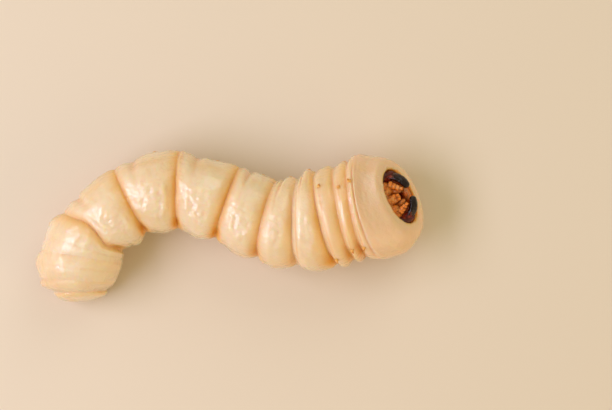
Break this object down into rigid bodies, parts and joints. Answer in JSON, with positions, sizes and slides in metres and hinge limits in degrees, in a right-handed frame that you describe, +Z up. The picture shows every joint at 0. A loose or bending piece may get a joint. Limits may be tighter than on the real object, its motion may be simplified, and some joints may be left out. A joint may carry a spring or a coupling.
{
  "type": "longhorn beetle larva",
  "caption": "Plump cream wood-boring grub lying on its back, tail curled aside, with ringed body lobes, tiny legs and dark jaws set in a wide collar.",
  "frame": {"origin": "centre of the bounding box in plan, on the floor that the back of the body rests on", "axes": "+X towards the head along the longest extent, +Z up through the belly, +Y to the right side of the body"},
  "size_m": [0.0254, 0.0098, 0.0059],
  "materials": {
    "skin": "moist, translucent cream cuticle",
    "horn_brown": "glossy dark red-brown head shell",
    "horn_black": "glossy black jaws",
    "horn_amber": "amber mouthparts and legs"
  },
  "bodies": {
    "root": {"head_capsule": "horn_brown", "labrum": "horn_amber", "labium": "horn_amber", "mandible_left": "horn_black", "mandible_right": "horn_black", "maxilla_left": "horn_amber", "maxilla_right": "horn_amber", "antenna_left": "horn_amber", "antenna_right": "horn_amber", "leg_fore_left": "horn_amber", "leg_fore_right": "horn_amber", "leg_mid_left": "horn_amber", "leg_mid_right": "horn_amber", "leg_hind_left": "horn_amber", "leg_hind_right": "horn_amber", "prothorax": "skin", "mesothorax": "skin", "metathorax": "skin", "abdomen_01": "skin", "abdomen_02": "skin", "abdomen_03": "skin", "abdomen_04": "skin", "abdomen_05": "skin", "abdomen_06": "skin", "abdomen_07": "skin", "abdomen_08": "skin", "abdomen_09": "skin", "abdomen_10": "skin"}
  },
  "joints": []
}
